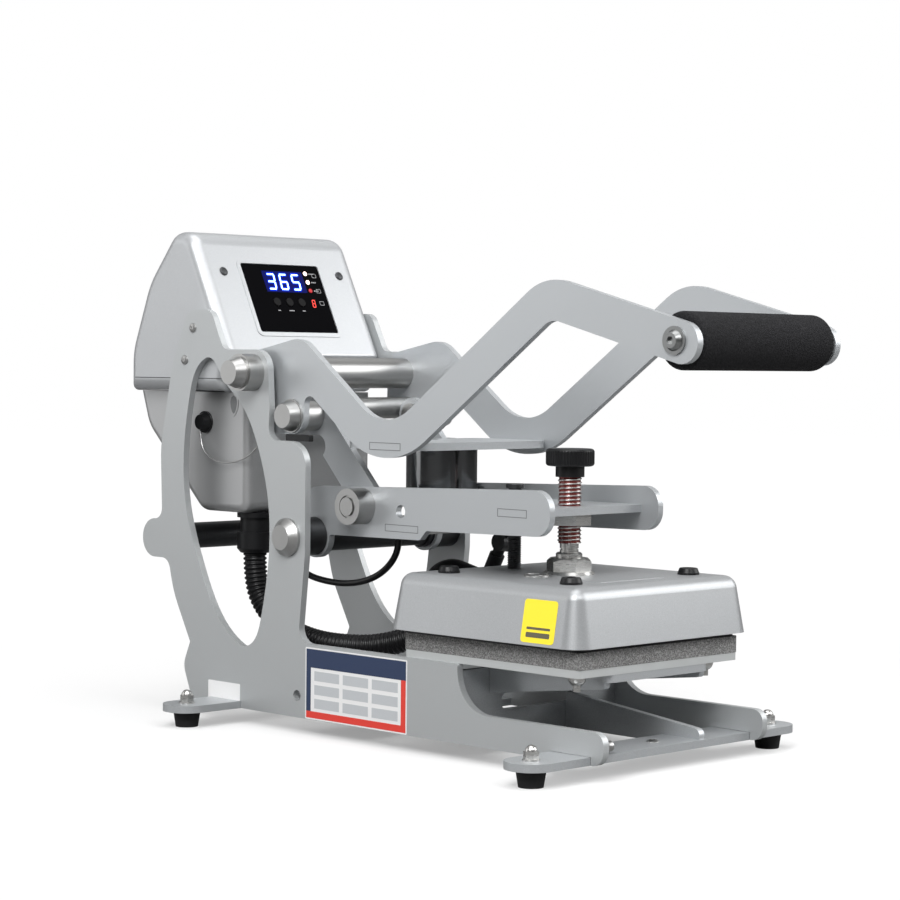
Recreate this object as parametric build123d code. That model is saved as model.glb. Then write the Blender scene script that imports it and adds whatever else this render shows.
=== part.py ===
from build123d import *
import math
import os

# Clamshell heat press for small labels, in millimetres.
# X runs along the hinge axes, +Y runs from the grip to the control head, +Z is up.
# While the pieces are made, Y = 0 is the middle of the lower platen and Z = 0 is the table.
# The finished pieces are shifted along Y, so that the origin lies under the middle of the machine.

# Sheet metal
sheet = 5.0
run_gap = 0.05
face_gap = 0.3
side_inner_x = 75.0
handle_inner_x = 65.0
arm_inner_x = 50.0
link_gap = 0.8

# Base and feet
base_bottom = 11.0
base_top = 62.2
low_front_top = 31.5
nose_y = -100.5
low_front_end_y = 25.0
foot_x = 115.0
front_foot_y = -73.5
rear_foot_y = 256.0
foot_plate_half_depth = 16.5
foot_top_r = 9.6
foot_bottom_r = 7.8
foot_stud_r = 2.5
foot_nut_flats = 8.6
side_hole_y = 180.0
side_hole_z = 26.0
side_hole_r = 3.8

# Pivots, as places in the YZ plane
handle_pivot_y = 229.3
handle_pivot_z = 246.7
toggle_pin_y = 198.8
toggle_pin_z = 217.1
arm_link_y = 142.0
arm_link_z = 157.0
arm_pivot_y = 191.0
arm_pivot_z = 134.0

# Tower
carry_tube_y = 338.0
carry_tube_z = 125.5
carry_tube_r = 9.5
carry_lobe_r = 14.0
ear_top = 291.0
shoulder_z = 262.7
tower_front_y = 173.0
handle_pivot_lobe_r = 16.0

# Handle
grip_y = -144.0
grip_z = 269.2
bend_y = -41.4
bend_z = 296.4
valley_y = 105.4
valley_z = 191.6
strip_half = 12.7
nose_reach = 17.7
bend_radius = 27.0
valley_radius = 51.0
rear_rise = 0.76
grip_r = 17.7
grip_core_r = 9.0
upper_tube_r = 11.0
lower_tube_y = 220.0
lower_tube_z = 221.5
lower_tube_r = 7.8
strike_bottom = 196.3
strike_front_y = 80.0
strike_rear_y = 152.0

# Pins
handle_shaft_r = 6.0
toggle_shaft_r = 6.0
arm_shaft_r = 8.0
cap_r = 11.2
cap_face_r = 8.3
cap_length = 7.6
handle_boss_r = 12.9
handle_boss_length = 12.7
arm_boss_r = 12.3
arm_boss_length = 14.8
arm_cap_r = 13.2
arm_cap_length = 7.0
pivot_bush_r = 13.2
link_half = 12.2

# Arm
arm_tip_y = -31.0
arm_tip_top = 174.8
arm_rear_top = 168.2
arm_tip_bottom = 145.3
arm_step_y = 84.0
arm_step_z = 136.8
arm_lobe_r = 15.0
arm_tube_r = 11.0
arm_hole_y = 105.0
arm_hole_z = 155.0
arm_hole_r = 4.4
nut_plate_bottom = 157.0
nut_plate_front_y = -16.4
nut_plate_rear_y = 64.0
magnet_plate_bottom = 140.5
pressure_nut_height = 7.5
magnet_y = 122.0
magnet_r = 24.5

# Lower platen
platen_size = 154.4
platen_bottom = 62.2
platen_thick = 5.0
pad_thick = 10.8
pad_overhang = 0.3
bracket_half = 49.0
bracket_rear_y = 60.0
cross_plate_y = 27.0
cross_window_z = 34.0
cross_window_half = 37.0
cross_window_height = 10.8
rib_x = 28.0

# Heat head
head_y = 2.4
pad_gap = 0.3
heat_platen_half = platen_size / 2 + 1.3
heat_platen_thick = 14.0
hood_half = heat_platen_half + 7.0
hood_bottom = 80.5
hood_top = 117.5
hood_corner_r = 14.0
hood_draft = 10.0
hood_wall = 2.5
hood_edge_r = 9.0
plug_x = hood_half - 28.5
plug_y = hood_half - 31.5
plug_r = 7.2
screw_r = 7.1
screw_neck_r = 6.2
screw_top = 181.0
flange_nut_flats = 26.0
flange_nut_height = 10.5
flange_r = 19.0
knob_r = 16.0
knob_top = 199.5
knob_bottom = 188.0
knob_hub_r = 9.5
guide_y = 52.0
guide_r = 4.2
guide_top = 171.5

# Gas spring
spring_x = 36.0
spring_foot_y = 152.0
spring_foot_z = 28.0
spring_head_y = 98.0
spring_head_z = 131.0
spring_tube_r = 5.4
spring_tube_length = 74.0
spring_rod_r = 2.6
spring_eye_r = 6.2
spring_eye_half = 4.5
spring_pin_r = 3.0

# Control head
cover_half = 74.7
cover_wall = 2.5
cover_edge_r = 9.0
cover_front_low_y = 262.0
cover_front_low_z = 259.5
cover_front_top_y = 306.0
cover_top = 347.5
cover_rear_y = 377.0
cover_seam_z = 232.5
lower_half = 60.0
lower_front_y = 258.0
lower_bottom = 146.0
lower_rear_y = 383.0
panel_width = 75.0
panel_height = 56.0
panel_low = 18.0
panel_thick = 2.0
panel_rim = 3.2
button_r = 3.2
button_travel = 0.8
gland_x = -42.0
gland_y = 270.0
small_gland_x = -16.0
small_gland_y = 262.0

# Cords
conduit_r = 8.5
magnet_cable_r = 2.3

nodes = {}


def spot(y, z):
    return Vector(y, z)


def rounded_face(corners):
    """Flat face from corners given as (across, up, radius)."""
    edges = []
    ends = []
    count = len(corners)
    for index in range(count):
        here = spot(*corners[index][:2])
        back = (spot(*corners[index - 1][:2]) - here).normalized()
        ahead = (spot(*corners[(index + 1) % count][:2]) - here).normalized()
        radius = corners[index][2]
        if radius <= 0:
            ends.append((here, here))
            continue
        half_turn = math.radians(back.get_angle(ahead)) / 2
        reach = radius / math.tan(half_turn)
        centre = here + (back + ahead).normalized() * (radius / math.sin(half_turn))
        middle = centre + (here - centre).normalized() * radius
        start = here + back * reach
        finish = here + ahead * reach
        edges.append(ThreePointArc(start, middle, finish))
        ends.append((start, finish))
    for index in range(count):
        start = ends[index][1]
        finish = ends[(index + 1) % count][0]
        if (finish - start).length > 1e-6:
            edges.append(Line(start, finish))
    return make_face(Wire(edges))


def slab(face, x_low, thickness):
    """Plate parallel to the YZ plane, from a face drawn as (Y, Z)."""
    return extrude(Plane.YZ.offset(x_low) * face, amount=thickness)


def shelf(face, z_low, thickness):
    """Plate parallel to the XY plane, from a face drawn as (X, Y)."""
    return extrude(Plane.XY.offset(z_low) * face, amount=thickness)


def disc_x(radius, x_low, length, y, z):
    """Cylinder along X."""
    return extrude(Plane.YZ.offset(x_low) * Pos(y, z) * Circle(radius), amount=length)


def disc_z(radius, z_low, length, x, y):
    """Cylinder along Z."""
    return extrude(Plane.XY.offset(z_low) * Pos(x, y) * Circle(radius), amount=length)


def cone_x(radius_in, radius_out, x_low, length, y, z):
    """Frustum along X, with the first radius at the low end."""
    low = Plane.YZ.offset(x_low) * Pos(y, z) * Circle(radius_in)
    high = Plane.YZ.offset(x_low + length) * Pos(y, z) * Circle(radius_out)
    return loft([low, high], ruled=True)


def block(x_low, x_high, y_low, y_high, z_low, z_high):
    """Box between two opposite corners."""
    size = (x_high - x_low, y_high - y_low, z_high - z_low)
    centre = ((x_low + x_high) / 2, (y_low + y_high) / 2, (z_low + z_high) / 2)
    return Pos(*centre) * Box(*size)


def offset_corner(before, here, after, distance):
    """Corner of a strip's edge, at a signed distance from its centre line."""
    first = (here - before).normalized()
    second = (after - here).normalized()
    first_side = Vector(-first.Y, first.X) * distance
    second_side = Vector(-second.Y, second.X) * distance
    bisector = (first_side + second_side).normalized()
    reach = distance * distance / bisector.dot(first_side)
    return here + bisector * reach


def mirrored(solid):
    """The same piece on the other side of the machine."""
    return mirror(solid, about=Plane.YZ)


def keep(name, *solids):
    """Store one named piece, or a group of like pieces."""
    flat = []
    for item in solids:
        flat.extend(item.solids())
    nodes[name] = flat


# Side plates: tower and base in one laser-cut sheet
def foot_notch(centre_y):
    return Pos(centre_y, base_bottom + sheet / 2) * Rectangle(2 * foot_plate_half_depth + 0.6, sheet + 0.4)


def side_plate():
    lobe_top = carry_tube_z + carry_lobe_r
    lobe_bottom = carry_tube_z - carry_lobe_r
    lobe_rear = carry_tube_y + carry_lobe_r
    pivot_front = handle_pivot_y - handle_pivot_lobe_r
    outline = rounded_face([
        (nose_y, base_bottom, 9.0),
        (nose_y, low_front_top, 8.0),
        (low_front_end_y, low_front_top, 27.0),
        (low_front_end_y, base_top, 1.5),
        (tower_front_y + 6.5, base_top, 11.0),
        (tower_front_y, arm_pivot_z - 12.0, 60.0),
        (tower_front_y, shoulder_z - 62.7, 17.0),
        (pivot_front - 1.0, shoulder_z - 62.7, 9.0),
        (pivot_front - 2.5, shoulder_z - 40.7, 30.0),
        (pivot_front, shoulder_z, 14.5),
        (261.0, shoulder_z, 7.0),
        (275.5, ear_top, 10.0),
        (300.5, ear_top, 11.0),
        (319.0, 250.0, 60.0),
        (331.5, 192.0, 70.0),
        (329.5, lobe_top, 8.0),
        (lobe_rear, lobe_top, carry_lobe_r - 0.2),
        (lobe_rear, lobe_bottom, carry_lobe_r - 0.2),
        (322.0, lobe_bottom, 9.0),
        (316.0, 88.0, 80.0),
        (296.5, 53.0, 1.5),
        (304.0, 36.0, 13.0),
        (293.5, base_bottom, 7.0),
    ])
    window = make_face(Spline([
        (241.0, 55.5), (262.0, 70.0), (287.0, 110.0), (302.0, 150.0), (305.0, 186.0),
        (298.5, 230.0), (288.0, 252.0), (277.0, 257.0), (262.0, 243.0), (243.0, 226.5),
        (222.0, 193.0), (212.0, 160.0), (210.5, 120.0), (218.0, 78.0), (228.0, 58.0),
    ], periodic=True))
    face = outline - window
    face = face - foot_notch(front_foot_y)
    face = face - foot_notch(rear_foot_y)
    face = face - Pos(handle_pivot_y, handle_pivot_z) * Circle(handle_shaft_r + run_gap)
    face = face - Pos(arm_pivot_y, arm_pivot_z) * Circle(arm_shaft_r + run_gap)
    face = face - Pos(side_hole_y, side_hole_z) * Circle(side_hole_r)
    return slab(face, side_inner_x, sheet)


# Foot plates: a strip across the machine with a round ear at each end
def foot_plate(centre_y):
    half_length = foot_x + foot_plate_half_depth
    strip = RectangleRounded(2 * half_length, 2 * foot_plate_half_depth, foot_plate_half_depth - 0.5)
    face = Pos(0, centre_y) * strip
    for x in (-foot_x, foot_x):
        face = face - Pos(x, centre_y) * Circle(foot_stud_r + run_gap)
    return shelf(face, base_bottom, sheet)


def rubber_foot(x, y):
    low = Plane.XY * Pos(x, y) * Circle(foot_bottom_r)
    high = Plane.XY.offset(base_bottom) * Pos(x, y) * Circle(foot_top_r)
    body = loft([low, high], ruled=True)
    hole = disc_z(foot_stud_r + run_gap, 4.0, base_bottom, x, y)
    return body - hole


def foot_stud(x, y):
    top = base_bottom + sheet
    stud = disc_z(foot_stud_r, 4.0, top - 4.0, x, y)
    washer = disc_z(5.4, top, 1.0, x, y)
    flats = Pos(x, y) * RegularPolygon(foot_nut_flats / 2, 6, major_radius=False)
    nut = shelf(flats, top + 1.0, 4.6)
    dome = Pos(x, y, top + 5.6) * Sphere(foot_nut_flats / 2 - 0.4)
    dome = dome & block(x - 6, x + 6, y - 6, y + 6, top + 5.6, top + 12)
    return stud + washer + nut + dome


# Shafts with caps outside the side plates
def capped_end(x_start, boss_r, boss_length, rim_r, face_r, length, y, z):
    """Boss and tapered cap beyond x_start, on the +X side."""
    body = disc_x(boss_r, x_start, boss_length, y, z) if boss_length > 0 else None
    ring = disc_x(rim_r, x_start + boss_length, 1.6, y, z)
    cap = cone_x(rim_r - 0.3, face_r, x_start + boss_length + 1.6, length, y, z)
    end = ring + cap
    return end + body if body else end


def handle_pivot_shaft():
    outer = side_inner_x + sheet
    end = capped_end(outer, handle_boss_r, handle_boss_length, cap_r, cap_face_r, cap_length,
                     handle_pivot_y, handle_pivot_z)
    rod = disc_x(handle_shaft_r, -outer, 2 * outer, handle_pivot_y, handle_pivot_z)
    return rod + end + mirrored(end)


def arm_pivot_shaft():
    outer = side_inner_x + sheet
    rod = disc_x(arm_shaft_r, -outer, 2 * outer, arm_pivot_y, arm_pivot_z)
    rim = disc_x(arm_cap_r, outer, 2.0, arm_pivot_y, arm_pivot_z)
    crown = cone_x(arm_cap_r, 8.5, outer + 2.0, arm_cap_length - 2.0, arm_pivot_y, arm_pivot_z)
    end = rim + crown
    return rod + end + mirrored(end)


def pivot_bush():
    low = arm_inner_x + sheet + face_gap
    length = side_inner_x - low
    ring = disc_x(pivot_bush_r, low, length, arm_pivot_y, arm_pivot_z)
    return ring - disc_x(arm_shaft_r + run_gap, low, length, arm_pivot_y, arm_pivot_z)


# Base cross members
def base_cross_plate():
    plate = block(-side_inner_x, side_inner_x, cross_plate_y, cross_plate_y + sheet,
                  base_bottom, platen_bottom - sheet)
    window = Plane.XZ.offset(-cross_plate_y - sheet) * Pos(0, cross_window_z) * RectangleRounded(
        2 * cross_window_half, cross_window_height, 5.0)
    return plate - extrude(window, amount=sheet)


def base_rib(x):
    face = rounded_face([
        (cross_plate_y, base_bottom, 0),
        (cross_plate_y, 35.4, 0),
        (front_foot_y - 15.0, 22.4, 5.0),
        (front_foot_y - 15.0, base_bottom + sheet, 0),
        (front_foot_y + foot_plate_half_depth, base_bottom + sheet, 0),
        (front_foot_y + foot_plate_half_depth, base_bottom, 0),
    ])
    return slab(face, x - sheet / 2, sheet)


def rear_base_plate():
    low = spring_foot_y - 27.0
    high = spring_foot_y + 27.0
    floor_plate = block(-side_inner_x, side_inner_x, low, high, base_bottom, base_bottom + sheet)
    inner = spring_eye_half + 0.5
    ear = rounded_face([
        (spring_foot_y - 9.0, base_bottom + sheet, 0),
        (spring_foot_y - 7.5, spring_foot_z + 7.5, 6.5),
        (spring_foot_y + 7.5, spring_foot_z + 7.5, 6.5),
        (spring_foot_y + 9.0, base_bottom + sheet, 0),
    ])
    ears = slab(ear, spring_x + inner, 4.0) + slab(ear, spring_x - inner - 4.0, 4.0)
    return floor_plate + ears + spring_foot_pin()


def spring_foot_pin():
    reach = spring_eye_half + 0.5 + 4.0
    pin = disc_x(spring_pin_r, spring_x - reach, 2 * reach, spring_foot_y, spring_foot_z)
    head = disc_x(5.0, spring_x + reach, 2.0, spring_foot_y, spring_foot_z)
    clip = disc_x(5.0, spring_x - reach - 1.5, 1.5, spring_foot_y, spring_foot_z)
    return pin + head + clip


# Lower platen and its bracket
def platen_bracket():
    top = platen_bottom
    front = -platen_size / 2 + 0.2
    plate = Pos(0, (front + bracket_rear_y) / 2) * RectangleRounded(
        2 * bracket_half, bracket_rear_y - front, 6.0)
    shelf_plate = shelf(plate, top - sheet, sheet)
    flange = rounded_face([
        (cross_plate_y - face_gap, top - sheet, 0),
        (cross_plate_y - face_gap, 41.0, 0),
        (front + 4.0, 53.0, 3.0),
        (front + 4.0, top - sheet, 0),
    ])
    near = slab(flange, -bracket_half + 0.5, sheet)
    return shelf_plate + near + mirrored(near)


def lower_platen():
    face = RectangleRounded(platen_size, platen_size, 3.0)
    return shelf(face, platen_bottom, platen_thick)


def platen_pad():
    face = RectangleRounded(platen_size + 2 * pad_overhang, platen_size + 2 * pad_overhang, 3.0)
    return shelf(face, platen_bottom + platen_thick, pad_thick)


def platen_nut(x, y):
    flange = disc_z(6.4, platen_bottom - 1.5, 1.5, x, y)
    dome = Pos(x, y, platen_bottom - 1.5) * Sphere(5.8)
    dome = dome & block(x - 7, x + 7, y - 7, y + 7, platen_bottom - 8.0, platen_bottom - 1.5)
    stub = disc_z(2.5, platen_bottom - 10.5, 5.0, x, y)
    return flange + dome + stub


# Handle
grip_point = Vector(grip_y, grip_z)
bend_point = Vector(bend_y, bend_z)
valley_point = Vector(valley_y, valley_z)
rear_point = valley_point + Vector(100.0, 100.0 * rear_rise)
nose_dir = (bend_point - grip_point).normalized()
nose_point = grip_point - nose_dir * nose_reach


def handle_face():
    side = Vector(-nose_dir.Y, nose_dir.X) * strip_half
    nose_up = nose_point + side
    nose_down = nose_point - side
    bend_up = offset_corner(grip_point, bend_point, valley_point, strip_half)
    bend_down = offset_corner(grip_point, bend_point, valley_point, -strip_half)
    valley_up = offset_corner(bend_point, valley_point, rear_point, strip_half)
    valley_down = offset_corner(bend_point, valley_point, rear_point, -strip_half)
    rear_dir = (rear_point - valley_point).normalized()
    pivot_rear = handle_pivot_y + 16.8
    hump_y = handle_pivot_y - 39.8
    hump_z = valley_up.Y + (hump_y - valley_up.X) * rear_dir.Y / rear_dir.X
    lobe_front = toggle_pin_y - 12.6
    lobe_bottom = toggle_pin_z - 12.6
    notch_z = valley_down.Y + (lobe_front - valley_down.X) * rear_dir.Y / rear_dir.X
    nose_r = strip_half - 0.05
    face = rounded_face([
        (nose_down.X, nose_down.Y, nose_r),
        (nose_up.X, nose_up.Y, nose_r),
        (bend_up.X, bend_up.Y, bend_radius + strip_half),
        (valley_up.X, valley_up.Y, valley_radius - strip_half),
        (hump_y, hump_z, 22.0),
        (pivot_rear, handle_pivot_z + 13.6, 15.5),
        (pivot_rear, lower_tube_z + 3.0, 12.0),
        (lower_tube_y + 8.0, lobe_bottom, 12.0),
        (lobe_front, lobe_bottom, 12.5),
        (lobe_front, notch_z, 6.0),
        (valley_down.X, valley_down.Y, valley_radius + strip_half),
        (bend_down.X, bend_down.Y, bend_radius - strip_half),
    ])
    face = face - Pos(handle_pivot_y, handle_pivot_z) * Circle(handle_shaft_r + run_gap)
    face = face - Pos(toggle_pin_y, toggle_pin_z) * Circle(toggle_shaft_r + run_gap)
    face = face - Pos(grip_y, grip_z) * Circle(4.05)
    return face


def cross_tube(radius, bore, y, z):
    length = 2 * handle_inner_x
    tube = disc_x(radius, -handle_inner_x, length, y, z)
    return tube - disc_x(bore, -handle_inner_x, length, y, z)


def strike_plate():
    depth = strike_rear_y - strike_front_y
    face = Pos(0, (strike_front_y + strike_rear_y) / 2) * RectangleRounded(2 * handle_inner_x, depth, 12.0)
    waist = Pos(0, strike_rear_y + 4.0) * Circle(22.0)
    return shelf(face - waist, strike_bottom, sheet)


def foam_grip():
    reach = handle_inner_x - 0.5
    body = disc_x(grip_r, -reach, 2 * reach, grip_y, grip_z)
    body = fillet(body.edges().filter_by(GeomType.CIRCLE), 3.0)
    return body - disc_x(grip_core_r, -reach, 2 * reach, grip_y, grip_z)


def grip_bolt():
    outer = handle_inner_x + sheet
    shank = disc_x(4.0, handle_inner_x - 12.0, sheet + 12.0, grip_y, grip_z)
    washer = disc_x(8.6, outer, 1.4, grip_y, grip_z)
    head = cone_x(6.4, 4.6, outer + 1.4, 3.2, grip_y, grip_z)
    socket = Plane.YZ.offset(outer + 2.4) * Pos(grip_y, grip_z) * RegularPolygon(2.6, 6)
    return shank + washer + head - extrude(socket, amount=4.0)


# Toggle
link_outer_x = arm_inner_x - link_gap
link_inner_x = link_outer_x - sheet


def toggle_pin():
    outer = handle_inner_x + sheet
    shank = disc_x(toggle_shaft_r, link_inner_x - 1.0, outer - link_inner_x + 1.0,
                   toggle_pin_y, toggle_pin_z)
    washer = disc_x(cap_r + 0.4, outer, 1.4, toggle_pin_y, toggle_pin_z)
    cap = cone_x(cap_r - 0.4, cap_face_r, outer + 1.4, cap_length, toggle_pin_y, toggle_pin_z)
    spacer_low = link_outer_x + face_gap
    spacer = disc_x(10.4, spacer_low, handle_inner_x - spacer_low, toggle_pin_y, toggle_pin_z)
    clip = disc_x(8.0, link_inner_x - 2.3, 2.0, toggle_pin_y, toggle_pin_z)
    return shank + washer + cap + spacer + clip


def tube_notch(angle):
    """Scoop in a link's rear edge that takes the lower cross tube when the press is open."""
    reach = math.hypot(lower_tube_y - toggle_pin_y, lower_tube_z - toggle_pin_z)
    sweep_arc = CenterArc((toggle_pin_y, toggle_pin_z), reach, angle + 34.5, 60.0)
    return SlotArc(arc=sweep_arc, height=2 * (lower_tube_r + 0.5))


def link_plate():
    span = Vector(arm_link_y - toggle_pin_y, arm_link_z - toggle_pin_z)
    middle = Vector(toggle_pin_y, toggle_pin_z) + span * 0.5
    angle = math.degrees(math.atan2(span.Y, span.X))
    face = Pos(middle.X, middle.Y) * Rot(0, 0, angle) * SlotCenterToCenter(span.length, 2 * link_half)
    face = face - Pos(toggle_pin_y, toggle_pin_z) * Circle(toggle_shaft_r + run_gap)
    face = face - Pos(arm_link_y, arm_link_z) * Circle(toggle_shaft_r + run_gap)
    face = face - tube_notch(angle)
    plate = slab(face, link_inner_x, sheet)
    stud = disc_x(toggle_shaft_r + run_gap, link_inner_x, sheet, arm_link_y, arm_link_z)
    head = disc_x(9.0, link_inner_x - 2.2, 2.2, arm_link_y, arm_link_z)
    return plate + stud + head


def arm_link_pin():
    """The outer part of the arm pin: a boss on the arm plate with a ringed end."""
    outer = arm_inner_x + sheet
    boss = disc_x(arm_boss_r, outer, arm_boss_length, arm_link_y, arm_link_z)
    recess = disc_x(7.6, outer + arm_boss_length - 1.2, 1.2, arm_link_y, arm_link_z)
    core = disc_x(6.3, outer + arm_boss_length - 1.2, 2.0, arm_link_y, arm_link_z)
    shank = disc_x(toggle_shaft_r, arm_inner_x, sheet, arm_link_y, arm_link_z)
    return boss - recess + core + shank


# Arm
def arm_face():
    lobe_rear = arm_pivot_y + arm_lobe_r
    lobe_front = arm_pivot_y - arm_lobe_r
    lobe_bottom = arm_pivot_z - arm_lobe_r
    face = rounded_face([
        (arm_tip_y, arm_tip_bottom, 13.0),
        (arm_tip_y, arm_tip_top, 13.0),
        (lobe_rear, arm_rear_top, 20.0),
        (lobe_rear, lobe_bottom, arm_lobe_r - 0.1),
        (lobe_front, lobe_bottom, arm_lobe_r - 0.3),
        (lobe_front, arm_step_z - 1.2, 2.0),
        (arm_step_y + 2.5, arm_step_z, 3.0),
        (arm_step_y - 3.5, arm_tip_bottom - 2.0, 3.0),
    ])
    face = face - Pos(arm_pivot_y, arm_pivot_z) * Circle(arm_shaft_r + run_gap)
    face = face - Pos(arm_link_y, arm_link_z) * Circle(toggle_shaft_r + run_gap)
    face = face - Pos(arm_hole_y, arm_hole_z) * Circle(arm_hole_r)
    return face


def arm_pivot_tube():
    length = 2 * arm_inner_x
    tube = disc_x(arm_tube_r, -arm_inner_x, length, arm_pivot_y, arm_pivot_z)
    for x in (-arm_inner_x, arm_inner_x - 4.0):
        tube = tube + disc_x(arm_tube_r + 1.6, x, 4.0, arm_pivot_y, arm_pivot_z)
    return tube - disc_x(arm_shaft_r + run_gap, -arm_inner_x, length, arm_pivot_y, arm_pivot_z)


def nut_plate():
    middle = (nut_plate_front_y + nut_plate_rear_y) / 2
    depth = nut_plate_rear_y - nut_plate_front_y
    face = Pos(0, middle) * Rectangle(2 * arm_inner_x, depth)
    face = face - Pos(0, head_y) * Circle(screw_r + run_gap)
    face = face - Pos(0, guide_y) * Circle(guide_r + run_gap)
    return shelf(face, nut_plate_bottom, sheet)


def pressure_nut():
    face = RegularPolygon(12.5, 6, major_radius=False) - Circle(screw_r + run_gap)
    return shelf(Pos(0, head_y) * face, nut_plate_bottom - pressure_nut_height, pressure_nut_height)


def magnet_plate():
    wide = Pos(0, 104.0) * Rectangle(2 * arm_inner_x, 36.0)
    body = Pos(0, 118.0) * RectangleRounded(2 * (link_inner_x - 4.0), 64.0, 6.0)
    plate = shelf(wide + body, magnet_plate_bottom, sheet)
    inner = spring_x + spring_eye_half + 0.6
    lug = rounded_face([
        (spring_head_y - 8.0, magnet_plate_bottom, 0),
        (spring_head_y - 7.5, spring_head_z - 7.0, 6.0),
        (spring_head_y + 7.5, spring_head_z - 7.0, 6.0),
        (spring_head_y + 8.0, magnet_plate_bottom, 0),
    ])
    return plate + slab(lug, inner, 4.0)


def magnet():
    low = magnet_plate_bottom + sheet
    high = strike_bottom - face_gap
    body = disc_z(magnet_r, low, high - low, 0, magnet_y)
    groove = disc_z(12.0, high - 1.2, 1.2, 0, magnet_y) - disc_z(10.0, high - 1.2, 1.2, 0, magnet_y)
    body = body - groove
    return chamfer(body.edges().filter_by(GeomType.CIRCLE).sort_by(Axis.Z)[0], 1.0)


# Heat head
def hood_solid(half, z_low, z_high, corner, edge):
    face = Plane.XY.offset(z_low) * Pos(0, head_y) * RectangleRounded(2 * half, 2 * half, corner)
    body = extrude(face, amount=z_high - z_low, taper=hood_draft)
    top = body.faces().sort_by(Axis.Z)[-1]
    return fillet(top.edges(), edge)


def hood_shell():
    outer = hood_solid(hood_half, hood_bottom, hood_top, hood_corner_r, hood_edge_r)
    inner = hood_solid(hood_half - hood_wall, hood_bottom, hood_top - hood_wall,
                       hood_corner_r - hood_wall, hood_edge_r - hood_wall)
    shell = outer - inner
    for x in (-plug_x, plug_x):
        for y in (-plug_y, plug_y):
            shell = shell - disc_z(plug_r - 1.5, hood_top - 2 * hood_wall, 3 * hood_wall, x, y + head_y)
    return shell


def heat_platen():
    low = platen_bottom + platen_thick + pad_thick + pad_gap
    face = Pos(0, head_y) * RectangleRounded(2 * heat_platen_half, 2 * heat_platen_half, 8.0)
    body = shelf(face, low, heat_platen_thick)
    post_low = low + heat_platen_thick
    for x in (-plug_x, plug_x):
        for y in (-plug_y, plug_y):
            body = body + disc_z(plug_r + 1.5, post_low, hood_top - hood_wall - post_low, x, y + head_y)
    core = disc_z(flange_r, post_low, hood_top - hood_wall - post_low, 0, head_y)
    return body + core


def hood_plug(x, y):
    y = y + head_y
    stem = disc_z(plug_r - 1.7, hood_top - hood_wall, hood_wall, x, y)
    rim = disc_z(plug_r, hood_top, 1.4, x, y)
    cap = cone_z(plug_r - 0.2, plug_r - 1.3, hood_top + 1.4, 3.0, x, y)
    cap = fillet(cap.edges().filter_by(GeomType.CIRCLE).sort_by(Axis.Z)[-1], 0.8)
    return stem + rim + cap - disc_z(3.2, hood_top + 3.4, 2.0, x, y)


def cone_z(radius_in, radius_out, z_low, length, x, y):
    """Frustum along Z, with the first radius at the low end."""
    low = Plane.XY.offset(z_low) * Pos(x, y) * Circle(radius_in)
    high = Plane.XY.offset(z_low + length) * Pos(x, y) * Circle(radius_out)
    return loft([low, high], ruled=True)


def flange_nut():
    flats = RegularPolygon(flange_nut_flats / 2, 6, major_radius=False)
    low = hood_top + 1.8
    nut = shelf(Pos(0, head_y) * flats, low, flange_nut_height - 1.8)
    nut = nut & cone_z(flange_nut_flats / 2 + 9.0, flange_nut_flats / 2 - 0.6, low,
                       flange_nut_height - 1.8, 0, head_y)
    base = cone_z(flange_r - 1.8, flange_r - 3.2, hood_top, 1.8, 0, head_y)
    collar = disc_z(8.7, hood_top + flange_nut_height, 3.5, 0, head_y)
    collar = chamfer(collar.edges().filter_by(GeomType.CIRCLE).sort_by(Axis.Z)[-1], 0.9)
    bore = disc_z(screw_neck_r + run_gap, hood_top, flange_nut_height + 3.5, 0, head_y)
    return nut + base + collar - bore


def pressure_screw():
    neck_low = hood_top + 1.5
    neck_high = hood_top + flange_nut_height + 9.5
    neck = disc_z(screw_neck_r, neck_low, neck_high - neck_low, 0, head_y)
    groove = disc_z(9.0, neck_high - 4.2, 0.9, 0, head_y) - disc_z(5.5, neck_high - 4.2, 0.9, 0, head_y)
    rod = disc_z(screw_r, neck_high, screw_top - neck_high + 3.0, 0, head_y)
    return neck + rod - groove


def knob():
    hub = disc_z(knob_hub_r, screw_top, knob_bottom - screw_top, 0, head_y)
    head = disc_z(knob_r, knob_bottom, knob_top - knob_bottom, 0, head_y)
    rim = head.edges().filter_by(GeomType.CIRCLE)
    head = fillet(rim, 2.2)
    count = 48
    for index in range(count):
        turn = Pos(0, head_y) * Rot(0, 0, index * 360.0 / count)
        head = head - turn * disc_z(0.6, knob_bottom, knob_top - knob_bottom, knob_r + 0.25, 0)
    return hub + head - disc_z(screw_r + run_gap, screw_top, 3.0 + run_gap, 0, head_y)


def guide_post():
    post = disc_z(guide_r, hood_top, guide_top - hood_top, 0, guide_y)
    head = disc_z(6.0, guide_top, 3.0, 0, guide_y)
    return post + fillet(head.edges().filter_by(GeomType.CIRCLE).sort_by(Axis.Z)[-1], 0.8)


elbow_x = -4.0
elbow_front_x = 12.0
elbow_socket_y = 122.0
elbow_socket_z = 94.0
elbow_r = 10.0


def hood_elbow():
    path = FilletPolyline(
        (elbow_x, elbow_socket_y, elbow_socket_z),
        (elbow_x, elbow_socket_y, 115.0),
        (elbow_front_x, hood_half - 10.0, 99.0),
        radius=12.5)
    section = Plane.XY.offset(elbow_socket_z) * Pos(elbow_x, elbow_socket_y) * Circle(elbow_r)
    tube = sweep(section, path=path)
    collar = disc_z(elbow_r + 1.5, elbow_socket_z, 7.0, elbow_x, elbow_socket_y)
    solid_hood = hood_solid(hood_half, hood_bottom, hood_top, hood_corner_r, hood_edge_r)
    bore = disc_z(conduit_r + 0.3, elbow_socket_z, 12.0, elbow_x, elbow_socket_y)
    return tube + collar - solid_hood - bore


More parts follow.
